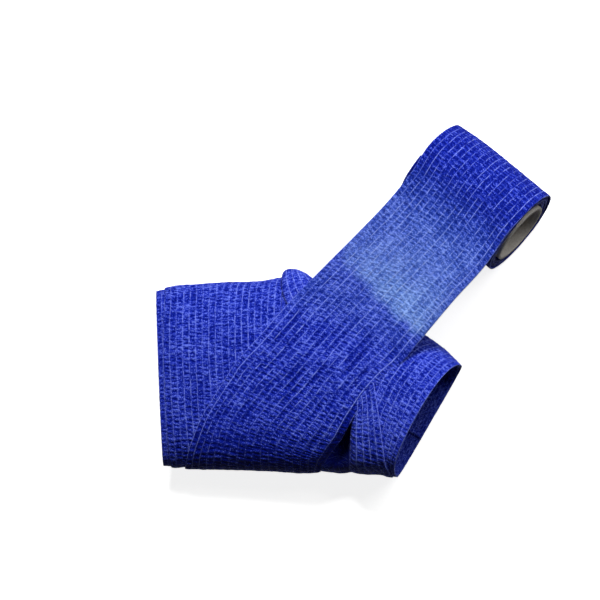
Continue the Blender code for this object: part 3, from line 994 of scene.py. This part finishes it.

# the pale patch of stretched cloth and painted light from behind: sudden where it ends toward the
# wrap, slow toward the roll, strong at the right
free = stage - 1
leftEnd, rightEnd = band["paleBacklitEnd"]
paleBacklitEnd = leftEnd + (rightEnd - leftEnd) * width ** 0.7
paleBacklitEnd = paleBacklitEnd + 0.03 * smoothNoise(across / 4, alongGrid / 5, 7)
before = eased(np.clip((paleBacklitEnd - free) / 0.10 + 0.5, 0, 1))
fade = np.exp(-np.clip(paleBacklitEnd - free, 0, 9) / band["paleBacklitFade"])
towardRight = 0.2 + 0.8 * ramp(width, 0.05, 0.5)
paleBacklit = before * fade * towardRight * (1 + 0.2 * smoothNoise(across / 4, alongGrid / 5, 8))
paleBacklit = paleBacklit + 0.16 * (1 - before) * ramp(free, 1.03, -0.22)
paleBacklit = paleBacklit + 0.3 * before * ramp(free, -0.02, 0.28)
paleBacklit = np.clip(paleBacklit * (1 - 0.35 * ramp(width, 0.88, 0.1)), 0, 1)

# its first threads and its last are bold, and most are lost in the crimps near the border
bold = bell(threadPlace, cloth["gaps"] - 1, 0.2) + (across < 1.3 * threadPitch)
threadsLost = np.minimum(ramp(stage, 2.25, 0.3), 0.7) * (1 - np.clip(nearLeft * 2 - 1, 0, 1))
marks = {
    "crease": np.clip(crease, 0, 1),
    "paleBacklit": paleBacklit,
    "sheer": np.clip(0.3 * calm + 0.7 * paleBacklit, 0, 1),
    "bold": np.maximum(bold * (0.35 + 0.65 * onBack), 0.4 * tight),
    "threadsLost": threadsLost,
}
points = points - surfaceNormals(points) * height[..., None]
points[..., 2] = np.maximum(points[..., 2], band["thickness"] / 2)
looseBand = makeSheet("looseBand", points, alongGrid, across, marks, band["thickness"],
                      band["seed"], True)
finishPiece(looseBand, fleeceStretched, "loose_band")
print("looseBand made,", len(looseBand.data.polygons), "faces")

# Inner plies of the roll, one sheet that winds inward from under the band to the core
edgeColumns = np.array(roll["columns"], float)
sides = np.concatenate((edgeColumns - cloth["width"] / 2, cloth["width"] / 2 - edgeColumns[-2::-1]))
halfPly = roll["plyThickness"] / 2
inward = roll["radius"] - halfPly - roll["coreRadius"] - roll["coreGap"] - halfPly
firstAngle = roll["leave"] + 360 + roll["join"]
lastAngle = roll["leave"] + 360 * inward / roll["plyStep"]
angles, along = evenPlaces(
    lambda angle: rollPoint(np.zeros(angle.shape), angle, roll["plyThickness"]),
    firstAngle, lastAngle, lambda angle: np.full(angle.shape, roll["rowStep"]))
angle, side = np.meshgrid(angles, sides, indexing="ij")
alongGrid, across = np.meshgrid(along, sides + cloth["width"] / 2, indexing="ij")
# its ends aren't quite flush, and they carry painted shade, in darker and lighter rows for the
# crimps
edgeShare = ramp(np.abs(side), 20, 8.5)
wander = roll["edgeWander"] * smoothNoise(angle / 40.0, side * 0, roll["seed"])
side = side + np.sign(side) * edgeShare * (wander - roll["edgeWander"])
points = rollPoint(side, angle, roll["plyThickness"])
crimp = np.floor(alongGrid / roll["crimpSpacing"])
# painted shade over all the plies, whose ends lie in shade, and more of it in crimp rows picked at
# random
marks = {"crease": 0.4 + 0.35 * (randomAt(crimp, side * 0, 3) > 0.5)}
rollPlies = makeSheet("rollPlies", points, alongGrid, across, marks, roll["plyThickness"],
                      roll["seed"], False)
finishPiece(rollPlies, fleece, "winding")
print("rollPlies made,", len(rollPlies.data.polygons), "faces")

# Core: a plain tube with eased rims
bpy.ops.mesh.primitive_cylinder_add(vertices=112, radius=roll["coreRadius"] * mm,
                                    depth=roll["coreLength"] * mm, end_fill_type="NOTHING")
core = bpy.context.object
core.name = "paperCore"
wall = core.modifiers.new("wall", "SOLIDIFY")
wall.thickness = roll["coreWall"] * mm
wall.offset = -1.0
bpy.ops.object.modifier_apply(modifier="wall")
rim = core.modifiers.new("rim", "BEVEL")
rim.width = roll["rimRadius"] * mm
rim.segments = 2
rim.limit_method = "ANGLE"
rim.angle_limit = radians(50)
bpy.ops.object.modifier_apply(modifier="rim")
lay = Matrix.Rotation(radians(roll["turn"]), 4, "Z") @ Matrix.Rotation(radians(90), 4, "Y")
core.data.transform(Matrix.Translation(Vector(roll["centre"]) * mm) @ lay)
bpy.ops.object.shade_smooth_by_angle(angle=radians(35))
core.data.materials.clear()
core.data.materials.append(board)
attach(core, "root")
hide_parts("core")
core.select_set(False)
print("core made")


# Floor, light and camera. Sizes and distances are in metres here.
studio = {
    "floor": "#F4F4F2",
    "floorSize": 4.0,
    "floorGlow": 0.84,  # keeps the floor pale where the lights are low
    "keyFrom": (0.04, 0.64, 0.77),
    "keyAway": 1.2,
    "keySize": 0.45,
    "keyPower": 13.3,
    "fillFrom": (0.62, 0.50, 0.66),
    "fillAway": 1.4,
    "fillSize": 0.9,
    "fillPower": 7.0,
    "sky": (0.9, 0.94, 1.0, 1.0),
    "skyPower": 0.03,
}
bpy.ops.mesh.primitive_plane_add(size=studio["floorSize"], location=(0.0, 0.0, 0.0))
floor = bpy.context.object
floor.name = "floor"
paper = bpy.data.materials.new("white paper sweep")
paper.use_nodes = True
paperSurface = paper.node_tree.nodes["Principled BSDF"]
paperSurface.inputs["Base Color"].default_value = linear(studio["floor"])
paperSurface.inputs["Roughness"].default_value = 0.9
paperSurface.inputs["Emission Color"].default_value = (1.0, 1.0, 1.0, 1.0)
paperSurface.inputs["Emission Strength"].default_value = studio["floorGlow"]
floor.data.materials.append(paper)
floor.visible_diffuse = False  # its glow doesn't light the cloth
floor.select_set(False)


def areaLight(name, toward, distance, size, power):
    light = bpy.data.lights.new(name, "AREA")
    light.shape = "DISK"
    light.size = size
    light.energy = power
    lamp = bpy.data.objects.new(name, light)
    bpy.context.scene.collection.objects.link(lamp)
    away = Vector(toward).normalized()
    lamp.location = away * distance
    lamp.rotation_euler = away.to_track_quat("Z", "Y").to_euler()


areaLight("key", studio["keyFrom"], studio["keyAway"], studio["keySize"], studio["keyPower"])
areaLight("fill", studio["fillFrom"], studio["fillAway"], studio["fillSize"], studio["fillPower"])
world = bpy.data.worlds.new("studio")
world.use_nodes = True
sky = world.node_tree.nodes["Background"]
sky.inputs["Color"].default_value = studio["sky"]
sky.inputs["Strength"].default_value = studio["skyPower"]
bpy.context.scene.world = world
bpy.context.scene.view_settings.view_transform = "Standard"

tilt = radians(camera["tilt"])
toward = Vector(camera["toward"]).normalized()
lookFrom = Vector((sin(tilt) * toward.x, sin(tilt) * toward.y, cos(tilt)))
cameraData = bpy.data.cameras.new("camera")
cameraData.lens = camera["lens"]
cameraData.sensor_width = camera["sensor"]
cameraData.clip_end = camera["seesTo"]
cameraObject = bpy.data.objects.new("camera", cameraData)
bpy.context.scene.collection.objects.link(cameraObject)
cameraUp = (Vector((0.0, 1.0, 0.0)) - lookFrom * lookFrom.y).normalized()
cameraRight = cameraUp.cross(lookFrom)
facing = Matrix((cameraRight, cameraUp, lookFrom)).transposed().to_4x4()
cameraPlace = (Vector(camera["target"]) + lookFrom * camera["distance"]) * mm
cameraObject.matrix_world = Matrix.Translation(cameraPlace) @ facing
bpy.context.scene.camera = cameraObject
print("stage made")
